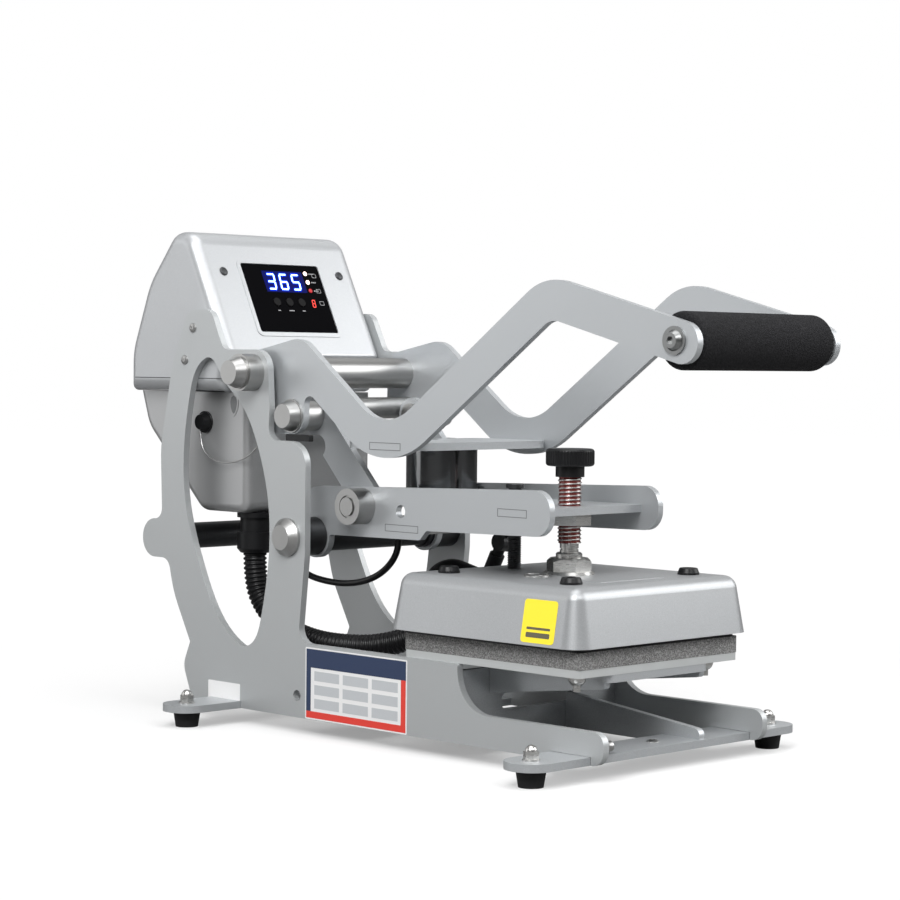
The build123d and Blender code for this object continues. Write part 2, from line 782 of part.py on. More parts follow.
# Gas spring
spring_dir = Vector(0, spring_head_y - spring_foot_y, spring_head_z - spring_foot_z)
spring_span = spring_dir.length
spring_dir = spring_dir.normalized()
spring_base = Plane(origin=(spring_x, spring_foot_y, spring_foot_z), x_dir=(1, 0, 0), z_dir=spring_dir)


def along_spring(radius, start, length):
    return extrude(spring_base.offset(start) * Circle(radius), amount=length)


def spring_tube():
    eye = disc_x(spring_eye_r, spring_x - spring_eye_half, 2 * spring_eye_half, spring_head_y, spring_head_z)
    neck = along_spring(4.0, spring_span - 11.0, 8.0)
    tube_start = spring_span - 10.0 - spring_tube_length
    tube = along_spring(spring_tube_r, tube_start, spring_tube_length)
    seal = along_spring(spring_tube_r - 2.0, tube_start - 2.5, 2.5)
    bore = along_spring(spring_rod_r + run_gap, tube_start - 2.5, spring_tube_length - 2.0)
    return eye + neck + tube + seal - bore


def spring_rod():
    rod = along_spring(spring_rod_r, 3.0, spring_span - 10.0 - 3.0 - 7.0)
    collar = along_spring(4.4, 4.0, 6.0)
    eye = disc_x(spring_eye_r, spring_x - spring_eye_half, 2 * spring_eye_half, spring_foot_y, spring_foot_z)
    pin_hole = disc_x(spring_pin_r + run_gap, spring_x - spring_eye_half, 2 * spring_eye_half,
                      spring_foot_y, spring_foot_z)
    return rod + collar + eye - pin_hole


# Control head
def cover_face():
    return rounded_face([
        (cover_front_low_y, cover_front_low_z, 3.0),
        (cover_front_low_y + 8.0, cover_seam_z, 4.0),
        (cover_rear_y, cover_seam_z, 1.0),
        (cover_rear_y, cover_top - 85.5, 50.0),
        (cover_rear_y - 20.0, cover_top - 35.5, 60.0),
        (cover_front_top_y + 21.0, cover_top, 14.0),
        (cover_front_top_y, cover_top, 17.0),
    ])


panel_dir = Vector(0, cover_front_top_y - cover_front_low_y, cover_top - cover_front_low_z).normalized()
panel_out = Vector(0, -panel_dir.Z, panel_dir.Y)
panel_face = Plane(origin=(0, cover_front_low_y, cover_front_low_z), x_dir=(1, 0, 0), z_dir=panel_out)
panel_mid = panel_low + panel_height / 2
panel_slope = math.degrees(math.atan2(panel_dir.Z, panel_dir.Y))
button_places = ((-13.0, 43.0), (-1.0, 43.0), (10.8, 43.0))


def on_panel(face, depth_low, thickness):
    """Slab parallel to the front of the cover, depth counted outwards."""
    return extrude(panel_face.offset(depth_low) * face, amount=thickness)


def upper_cover():
    outer = slab(cover_face(), -cover_half, 2 * cover_half)
    ends = [face for face in outer.faces() if abs(face.normal_at().X) > 0.99]
    rims = []
    for face in ends:
        rims.extend(face.edges())
    outer = fillet(rims, cover_edge_r)
    inner_face = offset(cover_face(), -cover_wall)
    inner = slab(inner_face, cover_wall + 3.0 - cover_half, 2 * (cover_half - cover_wall - 3.0))
    opening = block(cover_wall + 3.0 - cover_half, cover_half - cover_wall - 3.0, 274.0, cover_rear_y - cover_wall,
                    cover_seam_z - 1.0, cover_seam_z + cover_wall + 1.0)
    rim_face = Pos(0, panel_mid) * RectangleRounded(
        panel_width + 2 * panel_rim, panel_height + 2 * panel_rim, 5.0)
    rim = on_panel(rim_face, -1.0, 1.5)
    pocket = on_panel(Pos(0, panel_mid) * RectangleRounded(panel_width, panel_height, 2.0), -2.2, 8.0)
    shell = outer - inner - opening + rim - pocket
    for place in button_places:
        shell = shell - on_panel(Pos(*place) * Circle(button_r + 0.8), -8.0, 9.0)
    inlet = block(-41.0, -13.0, cover_rear_y - 6.0, cover_rear_y + 1.0, 237.5, 258.5)
    switch = block(16.0, 36.0, cover_rear_y - 6.0, cover_rear_y + 1.0, 240.0, 254.0)
    return shell - inlet - switch


def control_panel():
    face = Pos(0, panel_mid) * RectangleRounded(panel_width - 0.4, panel_height - 0.4, 1.8)
    for place in button_places:
        face = face - Pos(*place) * Circle(button_r + 0.3)
    window = Pos(*display_place) * Rectangle(39.4, 17.8)
    return on_panel(face - window, -2.2, panel_thick)


display_place = (0.6, 60.0)


def display_glass():
    return on_panel(Pos(*display_place) * Rectangle(39.0, 17.4), -2.2, panel_thick)


def button(place):
    cap = on_panel(Pos(*place) * Circle(button_r), -2.6, 3.2)
    foot = on_panel(Pos(*place) * Circle(button_r - 1.0), -6.0, 3.4)
    return cap + foot


def lower_face():
    return rounded_face([
        (lower_front_y, cover_seam_z - face_gap, 0),
        (lower_front_y, lower_bottom, 8.0),
        (lower_rear_y - 72.0, lower_bottom, 14.0),
        (lower_rear_y - 9.0, cover_seam_z - 26.5, 30.0),
        (lower_rear_y, cover_seam_z - face_gap, 0),
    ])


def lower_cover():
    outer = slab(lower_face(), -lower_half, 2 * lower_half)
    ends = [face for face in outer.faces() if abs(face.normal_at().X) > 0.99]
    rims = []
    for face in ends:
        rims.extend(edge for edge in face.edges() if edge.center().Z < cover_seam_z - face_gap - 0.5)
    outer = fillet(rims, 6.0)
    inner = slab(offset(lower_face(), -cover_wall), cover_wall + 3.0 - lower_half, 2 * (lower_half - cover_wall - 3.0))
    shell = outer - inner
    shell = shell - disc_z(9.0, lower_bottom - 1.0, 12.0, gland_x, gland_y)
    return shell - disc_z(4.0, lower_bottom - 1.0, 12.0, small_gland_x, small_gland_y)


def cable_gland():
    flange = disc_z(13.0, lower_bottom - 3.5, 3.5, gland_x, gland_y)
    neck = disc_z(10.8, lower_bottom - 14.0, 10.5, gland_x, gland_y)
    nut = disc_z(13.0, lower_bottom - 26.0, 12.0, gland_x, gland_y)
    skirt = cone_z(10.4, 13.0, lower_bottom - 29.0, 3.0, gland_x, gland_y)
    stem = disc_z(8.8, lower_bottom, 6.0, gland_x, gland_y)
    return flange + neck + nut + skirt + stem


def small_gland():
    nut = disc_z(6.5, lower_bottom - 8.0, 8.0, small_gland_x, small_gland_y)
    tail = cone_z(3.4, 5.6, lower_bottom - 16.0, 8.0, small_gland_x, small_gland_y)
    stem = disc_z(3.8, lower_bottom, 5.0, small_gland_x, small_gland_y)
    return nut + tail + stem


def fuse_cap():
    rim = disc_x(7.8, -lower_half - 2.0, 2.0, 304.3, 210.3)
    cap = cone_x(5.2, 7.0, -lower_half - 6.5, 4.5, 304.3, 210.3)
    return rim + cap


def power_inlet():
    flange = block(-45.0, 40.0, cover_rear_y, cover_rear_y + 2.0, 236.5, 259.5)
    body = block(-40.8, -13.2, cover_rear_y - 18.0, cover_rear_y, 237.7, 258.3)
    cavity = block(-38.0, -16.0, cover_rear_y - 12.0, cover_rear_y + 3.0, 241.0, 255.0)
    liner = block(16.2, 35.8, cover_rear_y - 14.0, cover_rear_y, 240.2, 253.8)
    well = block(18.0, 34.0, cover_rear_y - 12.0, cover_rear_y + 3.0, 241.4, 252.6)
    inlet = flange + body + liner - cavity - well
    for x, z in ((-33.0, 246.0), (-21.0, 246.0), (-27.0, 250.0)):
        inlet = inlet + block(x - 1.0, x + 1.0, cover_rear_y - 12.0, cover_rear_y - 1.0, z - 2.0, z + 2.0)
    return inlet


rocker_y = cover_rear_y - 4.0
rocker_z = 247.0


def power_rocker():
    face = rounded_face([
        (rocker_y - 4.0, rocker_z - 3.4, 1.5),
        (rocker_y + 4.4, rocker_z - 4.6, 0.8),
        (rocker_y + 5.4, rocker_z, 0),
        (rocker_y + 8.0, rocker_z + 4.2, 0.8),
        (rocker_y - 4.0, rocker_z + 3.4, 1.5),
    ])
    return slab(face, 18.7, 14.6) + disc_x(1.5, 18.05, 15.9, rocker_y, rocker_z)


# Cords
def corner_radii(points):
    """Largest even bends: 0.45 of the shorter run over the tangent of half the turn."""
    radii = []
    for before, here, after in zip(points, points[1:], points[2:]):
        run_in = Vector(*here) - Vector(*before)
        run_out = Vector(*after) - Vector(*here)
        half_turn = math.radians(run_in.get_angle(run_out)) / 2
        radii.append(0.45 * min(run_in.length, run_out.length) / math.tan(half_turn))
    return radii


def tube_along(name, points, radius):
    radii = corner_radii(points)
    path = FilletPolyline(*points, radius=radii)
    start = Plane(origin=path @ 0, z_dir=path % 0)
    tube = sweep(start * Circle(radius), path=path)
    print(name, "length", round(path.length, 1), "least radius", round(min(radii), 1))
    return tube


conduit_route = [
    (gland_x, gland_y, lower_bottom - 29.0),
    (gland_x, gland_y, 96.0),
    (-41.0, 259.0, 77.0),
    (-38.0, 238.0, 63.0),
    (-34.0, 212.0, 56.5),
    (-29.0, 184.0, 55.5),
    (-21.0, 162.0, 57.0),
    (-12.0, 141.0, 63.0),
    (elbow_x, elbow_socket_y, 77.0),
    (elbow_x, elbow_socket_y, elbow_socket_z),
]

magnet_cable_route = [
    (small_gland_x, small_gland_y, lower_bottom - 16.0),
    (small_gland_x, small_gland_y, 119.0),
    (-16.0, 255.5, 107.0),
    (-16.0, 240.0, 100.5),
    (-16.0, 222.0, 98.0),
    (-16.0, 203.0, 97.5),
    (-16.0, 184.0, 100.0),
    (-16.0, 167.0, 106.0),
    (-16.0, 154.0, 115.5),
    (-16.0, 147.0, 127.0),
    (-16.0, 147.0, magnet_plate_bottom),
]


# Assembly
left_side = mirrored(side_plate())
keep("left_side_plate", left_side)
keep("right_side_plate", side_plate())
keep("front_foot_plate", foot_plate(front_foot_y))
keep("rear_foot_plate", foot_plate(rear_foot_y))
foot_places = [(x, y) for x in (-foot_x, foot_x) for y in (front_foot_y, rear_foot_y)]
keep("rubber_feet", *[rubber_foot(x, y) for x, y in foot_places])
keep("foot_studs", *[foot_stud(x, y) for x, y in foot_places])
carry_tube = disc_x(carry_tube_r, -side_inner_x, 2 * side_inner_x, carry_tube_y, carry_tube_z)
keep("carry_tube", carry_tube - disc_x(carry_tube_r - 2.5, -side_inner_x, 2 * side_inner_x,
                                       carry_tube_y, carry_tube_z))
keep("handle_pivot_shaft", handle_pivot_shaft())
keep("arm_pivot_shaft", arm_pivot_shaft())
keep("arm_pivot_bushes", pivot_bush(), mirrored(pivot_bush()))
keep("base_cross_plate", base_cross_plate())
keep("base_rib", base_rib(rib_x))
keep("rear_base_plate", rear_base_plate())
keep("platen_bracket", platen_bracket())
keep("lower_platen", lower_platen())
keep("platen_pad", platen_pad())
nut_side_x = side_inner_x - 13.0
nut_end_y = platen_size / 2 - 15.2
keep("platen_nuts", *[platen_nut(x, y) for x in (-nut_side_x, nut_side_x) for y in (-nut_end_y, nut_end_y)])
keep("upper_cover", upper_cover())
keep("lower_cover", lower_cover())
keep("control_panel", control_panel())
keep("display_glass", display_glass())
keep("cable_gland", cable_gland())
keep("magnet_cable_gland", small_gland())
keep("fuse_cap", fuse_cap())
keep("power_inlet", power_inlet())
keep("power_rocker", power_rocker())
for button_name, place in zip(("left_button", "middle_button", "right_button"), button_places):
    keep(button_name, button(place))

keep("left_handle_plate", mirrored(slab(handle_face(), handle_inner_x, sheet)))
keep("right_handle_plate", slab(handle_face(), handle_inner_x, sheet))
keep("upper_cross_tube", cross_tube(upper_tube_r, handle_shaft_r + run_gap, handle_pivot_y, handle_pivot_z))
keep("lower_cross_tube", cross_tube(lower_tube_r, lower_tube_r - 2.0, lower_tube_y, lower_tube_z))
keep("strike_plate", strike_plate())
keep("grip_core", cross_tube(grip_core_r, 4.0, grip_y, grip_z))
keep("foam_grip", foam_grip())
keep("grip_bolts", grip_bolt(), mirrored(grip_bolt()))
keep("toggle_pins", toggle_pin(), mirrored(toggle_pin()))

keep("left_link", mirrored(link_plate()))
keep("right_link", link_plate())

keep("left_arm_plate", mirrored(slab(arm_face(), arm_inner_x, sheet)))
keep("right_arm_plate", slab(arm_face(), arm_inner_x, sheet))
keep("arm_pivot_tube", arm_pivot_tube())
keep("arm_link_pins", arm_link_pin(), mirrored(arm_link_pin()))
keep("nut_plate", nut_plate())
keep("pressure_nut", pressure_nut())
keep("magnet_plate", magnet_plate())
keep("electromagnet", magnet())

keep("hood", hood_shell())
keep("heat_platen", heat_platen())
keep("hood_plugs", *[hood_plug(x, y) for x in (-plug_x, plug_x) for y in (-plug_y, plug_y)])
keep("flange_nut", flange_nut())
keep("guide_post", guide_post())
keep("hood_elbow", hood_elbow())
keep("pressure_screw", pressure_screw())
keep("pressure_knob", knob())

keep("spring_tube", spring_tube())
keep("spring_rod", spring_rod())
keep("heater_conduit", tube_along("heater_conduit", conduit_route, conduit_r))
keep("magnet_cable", tube_along("magnet_cable", magnet_cable_route, magnet_cable_r))

# The machine's middle, without its cords, becomes the origin
cords = ("heater_conduit", "magnet_cable")
boxes = [solid.bounding_box() for name, group in nodes.items() if name not in cords for solid in group]
front_y = min(box.min.Y for box in boxes)
rear_y = max(box.max.Y for box in boxes)
middle_y = (front_y + rear_y) / 2
print("middle_y", round(middle_y, 3), "front", round(front_y, 2), "rear", round(rear_y, 2))

os.makedirs("parts", exist_ok=True)
for name, group in nodes.items():
    placed = [Pos(0, -middle_y, 0) * solid for solid in group]
    piece = placed[0] if len(placed) == 1 else Compound(placed)
    export_step(piece, "parts/" + name + ".step")
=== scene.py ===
import math

import bmesh
import bpy
from mathutils import Matrix, Vector


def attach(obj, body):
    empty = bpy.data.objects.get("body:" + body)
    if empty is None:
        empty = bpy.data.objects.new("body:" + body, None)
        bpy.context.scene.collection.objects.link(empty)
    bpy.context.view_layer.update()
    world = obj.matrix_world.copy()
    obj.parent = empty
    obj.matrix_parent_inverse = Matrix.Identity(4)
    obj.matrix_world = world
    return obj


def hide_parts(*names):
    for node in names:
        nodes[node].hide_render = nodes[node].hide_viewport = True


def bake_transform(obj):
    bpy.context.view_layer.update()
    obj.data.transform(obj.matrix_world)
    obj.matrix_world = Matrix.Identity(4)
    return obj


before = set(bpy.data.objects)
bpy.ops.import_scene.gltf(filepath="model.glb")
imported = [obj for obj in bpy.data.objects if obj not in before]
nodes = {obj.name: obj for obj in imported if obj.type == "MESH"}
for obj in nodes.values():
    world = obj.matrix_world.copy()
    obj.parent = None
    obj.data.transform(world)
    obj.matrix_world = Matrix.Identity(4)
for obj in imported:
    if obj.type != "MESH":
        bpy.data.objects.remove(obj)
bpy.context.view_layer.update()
scene = bpy.context.scene

# Places are in millimetres. Their Y starts at the lower platen's centre, this far in front of the origin
SHIFT_Y = 110.65

# Faces that the small pieces sit on and thicknesses of prints, in millimetres
SIDE_PLATE_FACE = 80.0
HANDLE_FACE = 70.0
ARM_FACE = 55.0
RAIL_INNER_FACE = 75.0
COVER_FACE = 74.7
LOWER_COVER_FACE = 60.0
HOOD_TOP = 117.5
HOOD_FOOT = 80.5
HOOD_HALF = 85.5
HOOD_LEAN = math.radians(10.0)
PANEL_FOOT_Y = 262.0
PANEL_FOOT_Z = 259.5
PANEL_RUN = 44.0
PANEL_RISE = 88.0
GLASS_FACE = -0.2
PRINT_THICK = 0.05
STICKER_THICK = 0.12

SIDES = ((-1, "left"), (1, "right"))


def at_mm(x, y, z):
    """The scene's place, in metres, of a place in millimetres."""
    return Vector((x / 1000, (y - SHIFT_Y) / 1000, z / 1000))


# Materials

def new_material(name):
    material = bpy.data.materials.new(name)
    material.use_nodes = True
    tree = material.node_tree
    shader = tree.nodes["Principled BSDF"]
    return material, tree, shader


def object_coords(tree, scale=(1, 1, 1)):
    coords = tree.nodes.new("ShaderNodeTexCoord")
    mapping = tree.nodes.new("ShaderNodeMapping")
    mapping.inputs["Scale"].default_value = scale
    tree.links.new(coords.outputs["Object"], mapping.inputs["Vector"])
    return mapping.outputs["Vector"]


def noise(tree, vector, scale, detail=2.0, roughness=0.5):
    node = tree.nodes.new("ShaderNodeTexNoise")
    node.inputs["Scale"].default_value = scale
    node.inputs["Detail"].default_value = detail
    node.inputs["Roughness"].default_value = roughness
    tree.links.new(vector, node.inputs["Vector"])
    return node.outputs["Fac"]


def ramp(tree, value, low, high, low_at=0.0, high_at=1.0):
    node = tree.nodes.new("ShaderNodeMapRange")
    node.inputs["From Min"].default_value = low_at
    node.inputs["From Max"].default_value = high_at
    node.inputs["To Min"].default_value = low
    node.inputs["To Max"].default_value = high
    tree.links.new(value, node.inputs["Value"])
    return node.outputs["Result"]


def tint(tree, factor, low, high):
    node = tree.nodes.new("ShaderNodeMix")
    node.data_type = 'RGBA'
    node.inputs["A"].default_value = (*low, 1)
    node.inputs["B"].default_value = (*high, 1)
    tree.links.new(factor, node.inputs["Factor"])
    return node.outputs["Result"]


def calculate(tree, operation, first, second=None):
    """Math node; the second value is a socket, a plain number or left out."""
    node = tree.nodes.new("ShaderNodeMath")
    node.operation = operation
    tree.links.new(first, node.inputs[0])
    if isinstance(second, float):
        node.inputs[1].default_value = second
    elif second is not None:
        tree.links.new(second, node.inputs[1])
    return node.outputs[0]


def bump(tree, shader, height, distance):
    node = tree.nodes.new("ShaderNodeBump")
    node.inputs["Distance"].default_value = distance
    node.inputs["Strength"].default_value = 1.0
    tree.links.new(height, node.inputs["Height"])
    tree.links.new(node.outputs["Normal"], shader.inputs["Normal"])


def shades(color, spread):
    """A darker and a lighter shade of one colour."""
    low = tuple(channel * (1 - spread) for channel in color)
    high = tuple(min(1.0, channel * (1 + spread)) for channel in color)
    return low, high


def powder_coat(name, low, high, roughness, metallic):
    """Silver paint: fine metallic flake, a little orange peel."""
    material, tree, shader = new_material(name)
    where = object_coords(tree)
    flake = ramp(tree, noise(tree, where, 2600.0), 0.0, 1.0, 0.35, 0.65)
    cloud = noise(tree, where, 14.0, 3.0)
    tree.links.new(tint(tree, flake, low, high), shader.inputs["Base Color"])
    tree.links.new(ramp(tree, cloud, roughness - 0.03, roughness + 0.04), shader.inputs["Roughness"])
    shader.inputs["Metallic"].default_value = metallic
    bump(tree, shader, noise(tree, where, 900.0), 0.00002)
    return material


def turned_metal(name, color, roughness, streak=0.06, metallic=1.0, axis=0):
    """Turned or drawn metal, with fine rings across its axis."""
    material, tree, shader = new_material(name)
    scale = [90.0, 90.0, 90.0]
    scale[axis] = 2600.0
    lines = noise(tree, object_coords(tree, tuple(scale)), 1.0, 3.0, 0.6)
    tree.links.new(tint(tree, lines, *shades(color, streak)), shader.inputs["Base Color"])
    tree.links.new(ramp(tree, lines, roughness - 0.05, roughness + 0.08), shader.inputs["Roughness"])
    shader.inputs["Metallic"].default_value = metallic
    bump(tree, shader, lines, 0.00001)
    return material


def moulded(name, color, roughness, grain=0.00003, scale=1500.0):
    """Moulded plastic or rubber with a fine eroded grain."""
    material, tree, shader = new_material(name)
    speck = noise(tree, object_coords(tree), scale, 3.0, 0.6)
    tree.links.new(tint(tree, speck, *shades(color, 0.15)), shader.inputs["Base Color"])
    tree.links.new(ramp(tree, speck, roughness - 0.05, roughness + 0.05), shader.inputs["Roughness"])
    bump(tree, shader, speck, grain)
    return material


def open_cell(name, low, high, scale, depth):
    """Foam with open pores."""
    material, tree, shader = new_material(name)
    where = object_coords(tree)
    cells = tree.nodes.new("ShaderNodeTexVoronoi")
    cells.feature = 'F1'
    cells.inputs["Scale"].default_value = scale
    tree.links.new(where, cells.inputs["Vector"])
    pores = ramp(tree, cells.outputs["Distance"], 0.0, 1.0, 0.1, 0.75)
    soft = ramp(tree, noise(tree, where, scale * 0.3, 3.0), 0.6, 1.2)
    foam = calculate(tree, 'MULTIPLY', pores, soft)
    tree.links.new(tint(tree, foam, low, high), shader.inputs["Base Color"])
    shader.inputs["Roughness"].default_value = 0.93
    bump(tree, shader, foam, depth)
    return material


def glow(name, color, strength, base=(0.0, 0.0, 0.0)):
    """Lit figure or lamp."""
    material, tree, shader = new_material(name)
    shader.inputs["Base Color"].default_value = (*base, 1)
    shader.inputs["Emission Color"].default_value = (*color, 1)
    shader.inputs["Emission Strength"].default_value = strength
    shader.inputs["Roughness"].default_value = 0.4
    return material


def printed(name, color, roughness=0.45, metallic=0.0):
    """Ink, film or a plain shadow line, with a slight speckle."""
    material, tree, shader = new_material(name)
    speck = noise(tree, object_coords(tree), 700.0)
    low = tuple(channel * 0.96 for channel in color)
    tree.links.new(tint(tree, speck, low, color), shader.inputs["Base Color"])
    shader.inputs["Roughness"].default_value = roughness
    shader.inputs["Metallic"].default_value = metallic
    return material


silver = powder_coat("silver_coat", (0.42, 0.438, 0.452), (0.51, 0.529, 0.545), 0.40, 0.55)
# Darker, less metallic copy of the silver coat: painted shade on the side plates
silver_painted_shade = powder_coat("silver_painted_shade_coat", (0.41, 0.425, 0.432), (0.49, 0.507, 0.514), 0.44, 0.45)
hood_coat = powder_coat("hood_coat", (0.345, 0.355, 0.365), (0.42, 0.432, 0.443), 0.40, 0.6)
cover_coat = powder_coat("cover_coat", (0.42, 0.432, 0.445), (0.485, 0.498, 0.512), 0.39, 0.5)
lower_coat = powder_coat("lower_coat", (0.36, 0.365, 0.37), (0.45, 0.455, 0.46), 0.34, 0.6)
bright = turned_metal("bright_steel", (0.42, 0.42, 0.415), 0.36)
bolt_steel = turned_metal("bolt_steel", (0.27, 0.275, 0.275), 0.32)
bright_z = turned_metal("bright_steel_z", (0.55, 0.545, 0.53), 0.27, axis=2)
magnet_chrome = turned_metal("magnet_nickel", (0.19, 0.195, 0.2), 0.12, 0.04, 1.0, axis=2)
plate_steel = turned_metal("plated_plate", (0.52, 0.52, 0.51), 0.33, 0.05, axis=1)
dark_tube = turned_metal("black_oxide", (0.05, 0.052, 0.055), 0.36, 0.2, 0.7)
dark_z = turned_metal("black_oxide_z", (0.045, 0.046, 0.048), 0.38, 0.2, 0.7, axis=2)
grease = turned_metal("red_grease", (0.135, 0.022, 0.018), 0.20, 0.3, 0.35, axis=2)
# Heat platen's aluminium painted near black: painted shadow of the gap between pad and hood
platen_shadow_paint = turned_metal("platen_painted_shadow", (0.045, 0.045, 0.046), 0.45, 0.1, 0.6, axis=1)
milled = turned_metal("milled_aluminium", (0.62, 0.64, 0.64), 0.40, 0.05, 0.6, axis=1)
pad_foam = open_cell("pad_foam", (0.085, 0.085, 0.085), (0.32, 0.32, 0.315), 1100.0, 0.0005)
grip_foam = open_cell("grip_foam", (0.004, 0.004, 0.0045), (0.022, 0.022, 0.024), 1300.0, 0.0003)
rubber = moulded("black_rubber", (0.018, 0.018, 0.019), 0.62)
plastic = moulded("black_plastic", (0.008, 0.0082, 0.009), 0.36)
cable_skin = moulded("cable_skin", (0.008, 0.008, 0.0088), 0.34, 0.00001)
panel_black = moulded("panel_black", (0.0035, 0.0035, 0.004), 0.4, 0.000005, 1800.0)
button_black = moulded("button_black", (0.007, 0.007, 0.0075), 0.5, 0.000005, 1800.0)
screen = moulded("screen_blue", (0.004, 0.006, 0.05), 0.14, 0.000002)
digit_blue = glow("digit_blue", (0.40, 0.66, 1.0), 4.5, (0.1, 0.2, 0.8))
halo_blue = glow("halo_blue", (0.0, 0.006, 0.22), 0.6)
halo_near = glow("halo_near", (0.0, 0.04, 0.95), 1.1)
lamp_white = glow("lamp_lit", (1.0, 0.72, 0.66), 3.0, (0.6, 0.3, 0.3))
lamp_red = glow("lamp_red", (0.45, 0.0, 0.01), 0.8, (0.2, 0.0, 0.0))
digit_red = glow("digit_red", (1.0, 0.05, 0.03), 1.6)
mark_grey = printed("panel_marks", (0.30, 0.30, 0.31))
seam_dark = printed("seam_shadow", (0.05, 0.052, 0.056), 0.6)
# Dark grey of the tab joints, also the painted shade inside the lower cover's teardrop recess
tab_joint_and_painted_shade = printed("tab_joint_and_painted_shade", (0.20, 0.205, 0.21), 0.5, 0.3)
yellow = printed("yellow_sticker", (0.93, 0.74, 0.02), 0.4)
yellow_dark = printed("sticker_dark_band", (0.10, 0.09, 0.05), 0.4)
label_white = printed("label_white", (0.80, 0.80, 0.80), 0.42)
label_navy = printed("label_navy", (0.018, 0.035, 0.09), 0.42)
label_red = printed("label_red", (0.72, 0.045, 0.03), 0.42)
label_grey = printed("label_grey", (0.50, 0.52, 0.54), 0.42)
wire_grey = turned_metal("lanyard_wire", (0.42, 0.42, 0.42), 0.3)

specular_levels = (
    (panel_black, 0.0), (button_black, 0.08), (screen, 0.03), (grip_foam, 0.15), (plastic, 0.27),
    (cable_skin, 0.35), (rubber, 0.25), (halo_blue, 0.05), (halo_near, 0.05), (pad_foam, 0.3))
for material, level in specular_levels:
    material.node_tree.nodes["Principled BSDF"].inputs["Specular IOR Level"].default_value = level


def paint(material, *names):
    for name in names:
        obj = nodes[name]
        if not obj.material_slots:
            obj.data.materials.append(material)
        for slot in obj.material_slots:
            slot.material = material


# The side plates take the darker copy of the silver coat, which is painted shade
paint(silver_painted_shade, "left_side_plate", "right_side_plate")
paint(silver, "front_foot_plate", "rear_foot_plate", "base_cross_plate", "base_rib", "rear_base_plate",
      "platen_bracket", "left_handle_plate", "right_handle_plate", "left_link", "right_link",
      "left_arm_plate", "right_arm_plate", "nut_plate", "strike_plate")
paint(hood_coat, "hood")
paint(cover_coat, "upper_cover")
paint(lower_coat, "lower_cover")
paint(bright, "handle_pivot_shaft", "arm_pivot_shaft", "toggle_pins", "arm_link_pins", "upper_cross_tube",
      "lower_cross_tube", "spring_rod")
paint(bolt_steel, "grip_bolts")
paint(bright_z, "foot_studs", "flange_nut", "pressure_nut", "pressure_screw", "platen_nuts")
paint(plate_steel, "magnet_plate")
paint(magnet_chrome, "electromagnet")
paint(dark_tube, "carry_tube", "arm_pivot_tube", "grip_core")
paint(dark_z, "guide_post", "spring_tube", "arm_pivot_bushes")
paint(milled, "lower_platen")
# The heat platen's sides get the painted shadow, not their own aluminium
paint(platen_shadow_paint, "heat_platen")
paint(pad_foam, "platen_pad")
paint(grip_foam, "foam_grip")
paint(rubber, "rubber_feet")
paint(plastic, "hood_plugs", "cable_gland", "magnet_cable_gland", "fuse_cap", "power_inlet", "pressure_knob",
      "hood_elbow", "power_rocker")
paint(button_black, "left_button", "middle_button", "right_button")
paint(panel_black, "control_panel")
paint(screen, "display_glass")


def soften(name, width):
    """Small broken edges on a laser-cut plate."""
    modifier = nodes[name].modifiers.new("edge", 'BEVEL')
    modifier.width = width
    modifier.segments = 2
    modifier.limit_method = 'ANGLE'
    modifier.angle_limit = math.radians(50)
    modifier.harden_normals = True


for name in ("left_side_plate", "right_side_plate", "left_handle_plate", "right_handle_plate",
             "left_arm_plate", "right_arm_plate", "left_link", "right_link", "front_foot_plate",
             "rear_foot_plate"):
    soften(name, 0.00045)


# Small shapes

def mesh_object(name, bm, material, smooth=False):
    mesh = bpy.data.meshes.new(name)
    bm.normal_update()
    bm.to_mesh(mesh)
    bm.free()
    mesh.materials.append(material)
    for face in mesh.polygons:
        face.use_smooth = smooth
    obj = bpy.data.objects.new(name, mesh)
    scene.collection.objects.link(obj)
    return obj


def basis(origin, x_dir, z_dir):
    z = Vector(z_dir).normalized()
    x = Vector(x_dir).normalized()
    y = z.cross(x)
    matrix = Matrix((x, y, z)).transposed().to_4x4()
    matrix.translation = origin
    return matrix


def side_face(side, face_x, y=0.0, z=0.0):
    """A place on a face that looks outwards at one side; an outline's X is that side's sign times Y."""
    return basis(at_mm(side * face_x, y, z), (0, side, 0), (side, 0, 0))


def upward(x, y, z):
    return basis(at_mm(x, y, z), (1, 0, 0), (0, 0, 1))


def join_ring(bm, low, high):
    """Faces between two rings of as many corners."""
    count = len(low)
    for k in range(count):
        after = (k + 1) % count
        bm.faces.new((low[k], low[after], high[after], high[k]))


def close_ends(bm, rings):
    bm.faces.new(rings[-1])
    bm.faces.new(list(reversed(rings[0])))
    bmesh.ops.recalc_face_normals(bm, faces=bm.faces[:])


def prism(name, outline, depth, matrix, material, body, bevel=0.0):
    """Closed plate from an outline in mm, standing up by depth mm."""
    bm = bmesh.new()
    low = [bm.verts.new((x / 1000, y / 1000, 0)) for x, y in outline]
    face = bm.faces.new(low)
    result = bmesh.ops.extrude_face_region(bm, geom=[face])
    for item in result["geom"]:
        if isinstance(item, bmesh.types.BMVert):
            item.co.z += depth / 1000
    bmesh.ops.recalc_face_normals(bm, faces=bm.faces[:])
    bm.transform(matrix)
    obj = mesh_object(name, bm, material)
    if bevel:
        modifier = obj.modifiers.new("edge", 'BEVEL')
        modifier.width = bevel / 1000
        modifier.segments = 2
    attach(obj, body)


def rectangle(cx, cy, w, h):
    return [(cx - w / 2, cy - h / 2), (cx + w / 2, cy - h / 2),
            (cx + w / 2, cy + h / 2), (cx - w / 2, cy + h / 2)]


